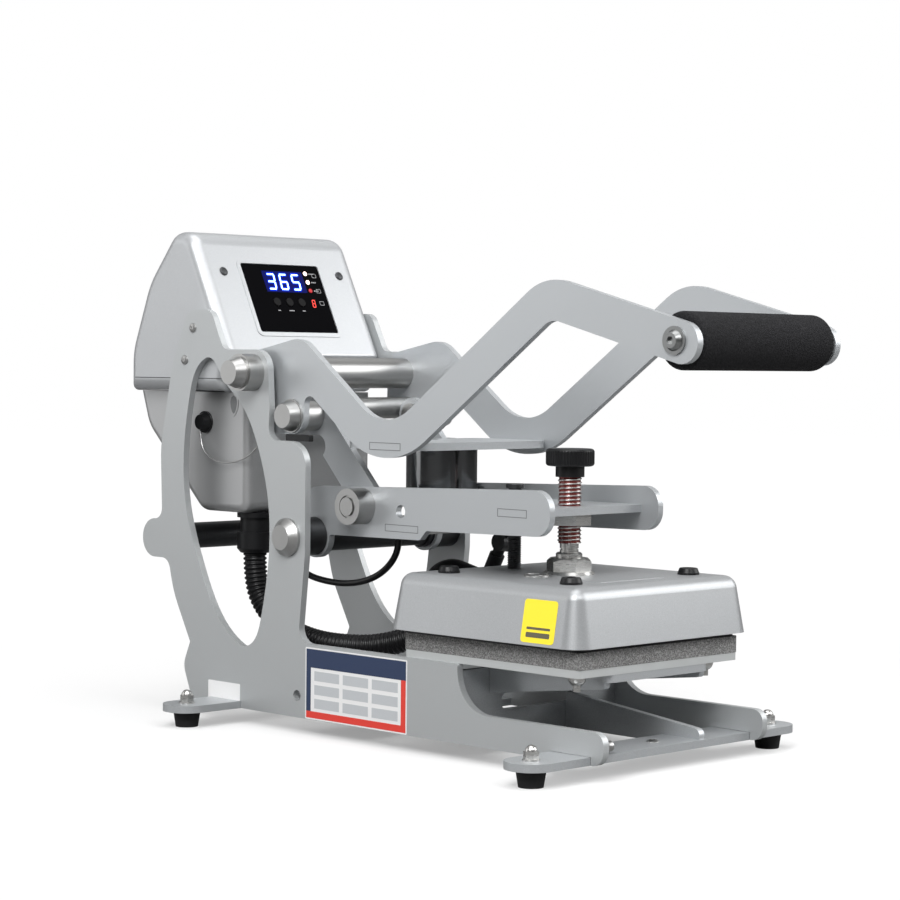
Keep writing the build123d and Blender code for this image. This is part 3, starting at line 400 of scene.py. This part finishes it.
def rounded(cx, cy, w, h, r, steps=6):
    points = []
    for sx, sy, start in ((1, -1, -90), (1, 1, 0), (-1, 1, 90), (-1, -1, 180)):
        for k in range(steps + 1):
            a = math.radians(start + 90 * k / steps)
            x = cx + sx * (w / 2 - r) + r * math.cos(a)
            y = cy + sy * (h / 2 - r) + r * math.sin(a)
            points.append((x, y))
    return points


def lathe(name, profile, matrix, material, body, count=28):
    """Turned piece from (radius, height) pairs in mm, about the matrix's Z."""
    bm = bmesh.new()
    rings = []
    for radius, height in profile:
        ring = []
        for k in range(count):
            a = 2 * math.pi * k / count
            x = radius / 1000 * math.cos(a)
            y = radius / 1000 * math.sin(a)
            ring.append(bm.verts.new((x, y, height / 1000)))
        rings.append(ring)
    for low, high in zip(rings, rings[1:]):
        join_ring(bm, low, high)
    close_ends(bm, rings)
    bm.transform(matrix)
    obj = mesh_object(name, bm, material, True)
    modifier = obj.modifiers.new("crease", 'EDGE_SPLIT')
    modifier.split_angle = math.radians(38)
    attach(obj, body)


def frame_line(name, outline, width, depth, matrix, material, body):
    """Thin raised line along a closed outline."""
    centre_x = sum(point[0] for point in outline) / len(outline)
    centre_y = sum(point[1] for point in outline) / len(outline)
    inner = []
    for x, y in outline:
        dx, dy = x - centre_x, y - centre_y
        inner.append((x - math.copysign(min(width, abs(dx)), dx), y - math.copysign(min(width, abs(dy)), dy)))
    bm = bmesh.new()
    rings = []
    for ring, height in ((outline, 0), (inner, 0), (inner, depth), (outline, depth)):
        rings.append([bm.verts.new((x / 1000, y / 1000, height / 1000)) for x, y in ring])
    for low, high in zip(rings, rings[1:] + rings[:1]):
        join_ring(bm, low, high)
    bmesh.ops.recalc_face_normals(bm, faces=bm.faces[:])
    bm.transform(matrix)
    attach(mesh_object(name, bm, material), body)


def tube_mesh(name, points, radius_at, material, sides=16):
    """Round tube along points in metres; radius_at(distance) gives its radius. Also returns its length."""
    along = [0.0]
    for a, b in zip(points, points[1:]):
        along.append(along[-1] + (b - a).length)
    bm = bmesh.new()
    rings = []
    side = None
    for index, point in enumerate(points):
        ahead = points[min(index + 1, len(points) - 1)] - points[max(index - 1, 0)]
        ahead.normalize()
        if side is None:
            side = ahead.orthogonal().normalized()
        side = (side - ahead * side.dot(ahead)).normalized()
        other = ahead.cross(side)
        radius = radius_at(along[index])
        ring = []
        for k in range(sides):
            a = 2 * math.pi * k / sides
            ring.append(bm.verts.new(point + side * (radius * math.cos(a)) + other * (radius * math.sin(a))))
        rings.append(ring)
    for low, high in zip(rings, rings[1:]):
        join_ring(bm, low, high)
    close_ends(bm, rings)
    return mesh_object(name, bm, material, True), along[-1]


def resample(points, step):
    """Points at even steps along a line of points, with both its ends."""
    out = [points[0].copy()]
    left = step
    for a, b in zip(points, points[1:]):
        run = (b - a).length
        at = left
        while at < run:
            out.append(a.lerp(b, at / run))
            at += step
        left = at - run
    out.append(points[-1].copy())
    return out


def route_points(name, route, step):
    """Evenly spaced points on the smooth spline through a cord's route."""
    curve = bpy.data.curves.new(name, 'CURVE')
    curve.dimensions = '3D'
    curve.resolution_u = 24
    spline = curve.splines.new('NURBS')
    spline.points.add(len(route) - 1)
    for target, place in zip(spline.points, route):
        target.co = (*at_mm(*place), 1)
    spline.order_u = 3
    spline.use_endpoint_u = True
    obj = bpy.data.objects.new(name, curve)
    scene.collection.objects.link(obj)
    bpy.context.view_layer.update()
    mesh = bpy.data.meshes.new_from_object(obj)
    points = [vert.co.copy() for vert in mesh.vertices]
    bpy.data.objects.remove(obj)
    return resample(points, step)


# Cords
conduit_route = [
    (-42.0, 270.0, 117.0), (-42.0, 270.0, 96.0), (-41.0, 259.0, 77.0), (-38.0, 238.0, 63.0),
    (-34.0, 212.0, 56.5), (-29.0, 184.0, 55.5), (-21.0, 162.0, 57.0), (-12.0, 141.0, 63.0),
    (-4.0, 122.0, 77.0), (-4.0, 122.0, 94.0)]
magnet_route = [
    (-16.0, 262.0, 130.0), (-16.0, 262.0, 119.0), (-16.0, 255.5, 107.0), (-16.0, 240.0, 100.5),
    (-16.0, 222.0, 98.0), (-16.0, 203.0, 97.5), (-16.0, 184.0, 100.0), (-16.0, 167.0, 106.0),
    (-16.0, 154.0, 115.5), (-16.0, 147.0, 127.0), (-16.0, 147.0, 140.5)]

# Metres
rib_pitch = 0.0033
rib_root = 0.0073
rib_height = 0.0012
rib_share = 0.68
lead_radius = 0.0023


def ribbed(distance):
    phase = (distance % rib_pitch) / rib_pitch
    return rib_root + rib_height * max(0.0, math.sin(math.pi * min(1.0, phase / rib_share))) ** 0.5


hose_points = route_points("conduit_line", conduit_route, 0.0005)
hose, hose_length = tube_mesh("conduit_ribbed", hose_points, ribbed, cable_skin, 28)
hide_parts("heater_conduit")
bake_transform(hose)

lead_points = route_points("magnet_lead_line", magnet_route, 0.002)
lead, lead_length = tube_mesh("magnet_lead", lead_points, lambda distance: lead_radius, cable_skin, 20)
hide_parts("magnet_cable")
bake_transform(lead)

# Control panel: x across the machine, s up the slope from its foot, d outwards
panel_slope = Vector((0, PANEL_RUN, PANEL_RISE)).normalized()
panel_out = Vector((0, -panel_slope.z, panel_slope.y))


def panel_matrix(x, s, d):
    foot = at_mm(0, PANEL_FOOT_Y, PANEL_FOOT_Z)
    return basis(foot + Vector((x / 1000, 0, 0)) + panel_slope * (s / 1000) + panel_out * (d / 1000),
                 (1, 0, 0), panel_out)


SEGMENTS = {"3": "abgcd", "6": "afgedc", "5": "afgcd", "8": "abcdefg"}
digit_lean = 0.10


def leaning(outline):
    return [(x + digit_lean * y, y) for x, y in outline]


def digit(name, char, x, s, width, height, stroke, material, halo=0.0):
    """Seven-segment figure with its lower left corner at x, s on the panel."""
    half = height / 2
    across = width - 1.2 * stroke
    upright = half - 1.3 * stroke
    left_x = stroke / 2
    right_x = width - stroke / 2
    upper = half + half / 2 - stroke / 4
    lower = half / 2 + stroke / 4
    places = {
        "a": (width / 2, height - stroke / 2, across, stroke), "g": (width / 2, half, across, stroke),
        "d": (width / 2, stroke / 2, across, stroke), "b": (right_x, upper, stroke, upright),
        "c": (right_x, lower, stroke, upright), "f": (left_x, upper, stroke, upright),
        "e": (left_x, lower, stroke, upright)}
    for letter in SEGMENTS[char]:
        cx, cy, w, h = places[letter]
        prism(name + "_" + letter, leaning(rectangle(cx, cy, w, h)), 0.12,
              panel_matrix(x, s, -0.18), material, "frame")
        if halo:
            around = leaning(rounded(cx, cy, w + halo, h + halo, halo / 2 + 0.4, 3))
            prism(name + "_glow_" + letter, around, 0.02, panel_matrix(x, s, -0.185), halo_near, "frame")


glass = panel_matrix(0, 0, GLASS_FACE)
mark_thick = 0.04
prism("display_glow", rounded(0.6, 0, 39, 17.4, 2.5), 0.03, panel_matrix(0, 60, -0.21), halo_blue, "frame")
for index, char in enumerate("365"):
    digit("digit_" + str(index), char, -16.2 + index * 11.8, 53.3, 7.4, 13.2, 1.15, digit_blue, 2.0)
lamp_x = 23.4
lamp_profile = [(1.7, 0), (1.7, 0.35), (1.2, 0.7), (0.5, 0.85)]
for index, (s, material) in enumerate(((67.4, lamp_white), (60.2, lamp_white), (53.2, lamp_red))):
    lathe("lamp_" + str(index), lamp_profile, panel_matrix(lamp_x, s, GLASS_FACE), material, "frame", 24)
    for k in range(3):
        prism("lamp_mark_%d_%d" % (index, k), rectangle(lamp_x + 4.2 + 1.6 * k, s, 1.1, 0.9),
              mark_thick, glass, mark_grey, "frame")
digit("small_eight", "8", 20.9, 39.3, 3.2, 6.4, 0.6, digit_red)
for index, (x, width) in enumerate(((-13.0, 2.6), (-1.0, 5.0), (10.8, 2.6))):
    prism("key_mark_%d" % index, rectangle(x, 36.2, width, 0.7), mark_thick, glass, mark_grey, "frame")
for index, (x, s) in enumerate(((31.5, 66.0), (31.5, 53.2), (31.0, 43.0))):
    frame_line("corner_mark_%d" % index, rounded(x, s, 4.2, 3.4, 0.6, 2), 0.3, mark_thick, glass, mark_grey,
               "frame")
front_screw = [(3.4, 0), (3.4, 0.5), (2.7, 1.1), (1.2, 1.2)]
for index, x in enumerate((-55.0, 57.0)):
    lathe("front_screw_%d" % index, front_screw, panel_matrix(x, 66.5, 0), dark_tube, "frame")
ear_screw = [(3.4, 0), (3.2, 0.9), (2.2, 1.5), (1.1, 1.6), (0.9, 1.1)]
for index, (y, z) in enumerate(((295.0, 278.0), (304.0, 255.0))):
    for side, word in SIDES:
        lathe("ear_screw_%d_%s" % (index, word), ear_screw, side_face(side, SIDE_PLATE_FACE, y, z),
              bright, "frame")

# Plain stickers of the left side plate; an outline's X is minus the place's Y
rating_x = -121.2
rating_middle = 31.8
on_plate = side_face(-1, SIDE_PLATE_FACE)
on_label = side_face(-1, SIDE_PLATE_FACE + STICKER_THICK)
rating_prints = (
    ("rating_band", rectangle(rating_x, 53.0, 98.0, 12.6), label_navy),
    ("rating_strip", rectangle(rating_x, 14.6, 98.0, 4.6), label_red),
    ("rating_side", rectangle(rating_x - 46.7, rating_middle, 4.6, 29.8), label_navy),
    ("rating_end", rectangle(rating_x + 46.6, rating_middle, 4.6, 29.8), label_red))
prism("rating_sticker", rounded(rating_x, 35.8, 100.0, 49.0, 1.0), STICKER_THICK, on_plate,
      label_white, "frame")
for name, outline, material in rating_prints:
    prism(name, outline, PRINT_THICK, on_label, material, "frame")
for row in range(3):
    for column in range(3):
        field = rectangle(rating_x - 28.3 + 28.6 * column, rating_middle + 9.4 - 9.4 * row, 25.0, 6.6)
        prism("rating_field_%d_%d" % (row, column), field, PRINT_THICK, on_label, label_grey, "frame")
prism("small_sticker", rounded(-258.0, 20.5, 35.0, 14.5, 0.8), STICKER_THICK, on_plate, label_white, "frame")

# Plain yellow sticker on the hood's left face, which leans inwards
sticker_y = -49.0
sticker_z = 95.6
sticker_x = -HOOD_HALF + (sticker_z - HOOD_FOOT) * math.tan(HOOD_LEAN)
hood_out = Vector((-math.cos(HOOD_LEAN), 0, math.sin(HOOD_LEAN)))
hood_up = Vector((math.sin(HOOD_LEAN), 0, math.cos(HOOD_LEAN)))


def on_hood(up, out):
    """A place on the hood's left face, mm up its slope and outwards from the sticker's middle."""
    return basis(at_mm(sticker_x, sticker_y, sticker_z) + hood_up * (up / 1000) + hood_out * (out / 1000),
                 (0, -1, 0), hood_out)


prism("yellow_sticker", rounded(0, 0, 28.0, 27.0, 2.4), STICKER_THICK, on_hood(0, 0.05), yellow, "head")
prism("yellow_ring", rounded(0, 0, 20.0, 3.2, 0.8), PRINT_THICK, on_hood(-8.6, 0.17), yellow_dark, "head")
prism("yellow_bar", rounded(0, 0, 20.0, 1.6, 0.6), PRINT_THICK, on_hood(-4.5, 0.17), yellow_dark, "head")

# Ring and thin plate on the hood's top
top_ring = [(8.2, -0.6), (8.2, 0.9), (7.6, 1.5), (6.6, 1.5), (6.2, 0.9), (5.8, 0.5), (1.0, 0.45)]
top_plate = [(-36.0, -58.0), (24.5, -58.0), (24.5, -55.0), (31.0, -48.0), (31.0, -38.0), (-36.0, -38.0)]
lathe("hood_top_ring", top_ring, upward(-33.0, 0.5, HOOD_TOP), bright_z, "head", 48)
prism("hood_top_plate", top_plate, 0.35, upward(0, 0, HOOD_TOP), hood_coat, "head", 0.15)

# Seam line of the upper cover, stop pad at the left tower's shoulder, moulded teardrop recess on the lower
# cover drawn as a raised rim round a dark drop of painted shade
for side, word in SIDES:
    prism("cover_seam_" + word, rectangle(side * 319.0, 242.0, 100.0, 0.6), 0.06,
          side_face(side, COVER_FACE + 0.02), seam_dark, "frame")
prism("stop_pad", rounded(-187.5, 202.2, 24.0, 4.5, 0.8), 4.1, side_face(-1, HANDLE_FACE + 0.8),
      plastic, "frame")
half_drop = [(3.6, 6.8), (5.2, 2.6), (4.4, -2.6), (2.4, -6.8)]
drop = [(0, 8.5), *half_drop, (0, -8.8), *[(-x, y) for x, y in reversed(half_drop)]]
for side, word in SIDES:
    lower_face = side_face(side, LOWER_COVER_FACE, 273.0, 223.5)
    prism("drop_rim_" + word, drop, 0.35, lower_face, lower_coat, "frame", 0.25)
    # Dark drop inside the rim: painted shade of the recess
    prism("drop_" + word, [(x * 0.72, y * 0.76) for x, y in drop], 0.42, lower_face, tab_joint_and_painted_shade, "frame")

# Small bolts of the base
rail_bolt = [(4.2, 0), (4.2, 2.0), (3.6, 2.2), (4.2, 3.4), (3.6, 4.6), (4.2, 5.8), (3.6, 7.0), (4.2, 8.2),
             (3.4, 10.0), (3.4, 14.0), (2.6, 15.0)]
foot_plate_screw = [(4.0, 0), (4.0, 0.5), (2.8, 1.3), (1.2, 1.5)]
lathe("rail_bolt", rail_bolt, basis(at_mm(-RAIL_INNER_FACE, -89.0, 21.0), (0, 0, 1), (1, 0, 0)),
      bright, "frame")
lathe("foot_plate_screw", foot_plate_screw, upward(-3.4, -74.0, 16.0), bright_z, "frame")

# Tab ends let into the plates: name, face, place along Y and Z, length, thickness, body
tabs = (
    ("nut_tab_", ARM_FACE, 2.0, 159.0, 26.0, 5.4, "arm"),
    ("magnet_tab_", ARM_FACE, 104.0, 143.6, 32.0, 5.0, "arm"),
    ("strike_tab_", HANDLE_FACE, 105.0, 198.8, 30.0, 5.2, "handle"))
for side, word in SIDES:
    for name, face_x, y, z, length, thick, body in tabs:
        frame_line(name + word, rectangle(side * y, z, length, thick), 0.5, 0.12, side_face(side, face_x),
                   tab_joint_and_painted_shade, body)

# Threads
THREAD_STEPS = 8


def thread(name, y, z_low, z_high, root, crest, pitch, material, body, sides, groove=None):
    """Single-start thread on an upright rod at x = 0; the groove's material fills its lower faces."""
    flank = root + (crest - root) * 0.5
    profile = [root, flank, crest, crest, flank, root, root, root]
    count = int((z_high - z_low) / pitch * THREAD_STEPS)
    bm = bmesh.new()
    rings = []
    for i in range(count + 1):
        z = z_low + (z_high - z_low) * i / count
        ring = []
        for k in range(sides):
            a = 2 * math.pi * k / sides
            phase = (i / THREAD_STEPS - k / sides) % 1.0 * THREAD_STEPS
            low = profile[int(phase) % THREAD_STEPS]
            high = profile[(int(phase) + 1) % THREAD_STEPS]
            radius = low + (high - low) * (phase % 1.0)
            ring.append(bm.verts.new(at_mm(radius * math.cos(a), y + radius * math.sin(a), z)))
        rings.append(ring)
    for low, high in zip(rings, rings[1:]):
        join_ring(bm, low, high)
    close_ends(bm, rings)
    groove_radius = (root + (crest - root) * 0.6) / 1000
    axis = at_mm(0, y, 0)
    middles = [face.calc_center_median() - axis for face in bm.faces]
    obj = mesh_object(name, bm, material, True)
    if groove:
        obj.data.materials.append(groove)
        for face, middle in zip(obj.data.polygons, middles):
            face.material_index = 1 if math.hypot(middle.x, middle.y) < groove_radius else 0
    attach(obj, body)


thread("screw_thread", 2.4, 137.6, 183.0, 7.12, 7.9, 2.6, bright_z, "screw", 40, grease)
thread("guide_thread", 52.0, 117.6, 171.4, 4.22, 4.7, 1.5, dark_z, "head", 28)

# Lanyard of the fuse cap
lanyard_route = [
    (-64.0, 305.5, 205.0), (-65.0, 304.5, 195.0), (-65.5, 297.0, 186.0), (-65.0, 283.0, 181.5),
    (-64.0, 266.0, 182.5), (-62.5, 251.0, 188.0), (-61.0, 246.0, 194.0)]
lanyard_radius = 0.0006
lanyard_points = route_points("lanyard_line", lanyard_route, 0.002)
lanyard = tube_mesh("fuse_lanyard", lanyard_points, lambda distance: lanyard_radius, wire_grey, 10)[0]
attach(lanyard, "frame")


# Stage

def camera_ray(tree):
    return tree.nodes.new("ShaderNodeLightPath").outputs["Is Camera Ray"]


def mix_shaders(tree, factor, first, second):
    node = tree.nodes.new("ShaderNodeMixShader")
    tree.links.new(factor, node.inputs[0])
    tree.links.new(first, node.inputs[1])
    tree.links.new(second, node.inputs[2])
    return node.outputs[0]


def matt(tree, level):
    node = tree.nodes.new("ShaderNodeBsdfDiffuse")
    node.inputs["Color"].default_value = (level, level, level, 1)
    return node.outputs[0]


def floor_shader():
    """White paper: plain near the machine, brighter further out so that its far edge meets the backdrop."""
    material = bpy.data.materials.new("floor_white")
    material.use_nodes = True
    tree = material.node_tree
    tree.nodes.clear()
    out = tree.nodes.new("ShaderNodeOutputMaterial")
    white = tree.nodes.new("ShaderNodeEmission")
    white.inputs["Color"].default_value = (1, 1, 1, 1)
    white.inputs["Strength"].default_value = 1.02
    coords = tree.nodes.new("ShaderNodeTexCoord")
    length = tree.nodes.new("ShaderNodeVectorMath")
    length.operation = 'LENGTH'
    tree.links.new(coords.outputs["Object"], length.inputs[0])
    far = ramp(tree, length.outputs["Value"], 0.30, 1.0, 0.10, 0.62)
    shown = mix_shaders(tree, far, matt(tree, 0.72), white.outputs[0])
    final = mix_shaders(tree, camera_ray(tree), matt(tree, 0.22), shown)
    tree.links.new(final, out.inputs["Surface"])
    return material


def studio_world():
    """White backdrop to the camera. The metal meets more light from above and in upright bands around."""
    world = bpy.data.worlds.new("studio")
    world.use_nodes = True
    tree = world.node_tree
    background = tree.nodes["Background"]
    direction = tree.nodes.new("ShaderNodeTexCoord")
    split = tree.nodes.new("ShaderNodeSeparateXYZ")
    tree.links.new(direction.outputs["Generated"], split.inputs["Vector"])
    sky = ramp(tree, split.outputs["Z"], 0.10, 0.55, -0.2, 0.9)
    turn = calculate(tree, 'ARCTAN2', split.outputs["Y"], split.outputs["X"])
    wave = calculate(tree, 'SINE', calculate(tree, 'MULTIPLY', turn, 4.0))
    bands = ramp(tree, wave, 0.25, 1.3, -0.5, 0.5)
    mix = tree.nodes.new("ShaderNodeMix")
    mix.data_type = 'RGBA'
    mix.inputs["B"].default_value = (1.0, 1.0, 1.0, 1)
    tree.links.new(calculate(tree, 'MULTIPLY', sky, bands), mix.inputs["A"])
    tree.links.new(camera_ray(tree), mix.inputs["Factor"])
    tree.links.new(mix.outputs["Result"], background.inputs["Color"])
    background.inputs["Strength"].default_value = 1.0
    return world


def area_light(name, place, target, size, power):
    data = bpy.data.lights.new(name, 'AREA')
    data.shape = 'RECTANGLE'
    data.size, data.size_y = size
    data.energy = power
    obj = bpy.data.objects.new(name, data)
    scene.collection.objects.link(obj)
    obj.location = place
    obj.rotation_euler = (Vector(target) - Vector(place)).to_track_quat('-Z', 'Y').to_euler()


floor_half = 6
floor_bm = bmesh.new()
for x, y in rectangle(0, 0, 2 * floor_half, 2 * floor_half):
    floor_bm.verts.new((x, y, 0))
floor_bm.faces.new(floor_bm.verts[:])
floor = mesh_object("floor", floor_bm, floor_shader())
scene.world = studio_world()
area_light("key", (1.55, -1.25, 1.1), (0, 0, 0.2), (1.5, 1.3), 27)
area_light("front", (-0.3, -1.7, 1.55), (0, 0, 0.15), (1.0, 0.8), 15)
area_light("left", (-1.55, -0.75, 1.5), (0, 0, 0.15), (1.2, 1.0), 41)
area_light("top", (-0.1, -0.1, 1.9), (0, 0, 0.1), (1.4, 1.4), 17)
area_light("back_left", (-1.5, 1.6, 0.7), (0, 0, 0.2), (1.6, 1.4), 9)

# Camera, calibrated from the platen's square and the parallel side plates
photo_width = 900
focal_pixels = 2456.15
sensor_width = 36.0
yaw = math.radians(44.822)
pitch = math.radians(-2.03)
roll = math.radians(0.549)
camera_data = bpy.data.cameras.new("camera")
camera_data.sensor_width = sensor_width
camera_data.lens = focal_pixels / photo_width * sensor_width
camera_data.clip_end = 50
camera = bpy.data.objects.new("camera", camera_data)
scene.collection.objects.link(camera)
scene.camera = camera
ahead = Vector((math.sin(yaw) * math.cos(pitch), math.cos(yaw) * math.cos(pitch), math.sin(pitch)))
level_right = Vector((math.cos(yaw), -math.sin(yaw), 0))
level_up = level_right.cross(ahead)
right = level_right * math.cos(roll) + level_up * math.sin(roll)
up = -level_right * math.sin(roll) + level_up * math.cos(roll)
matrix = Matrix((right, up, -ahead)).transposed().to_4x4()
matrix.translation = at_mm(-1187.69, -1081.08, 254.65)
camera.matrix_world = matrix

scene.view_settings.view_transform = 'Standard'
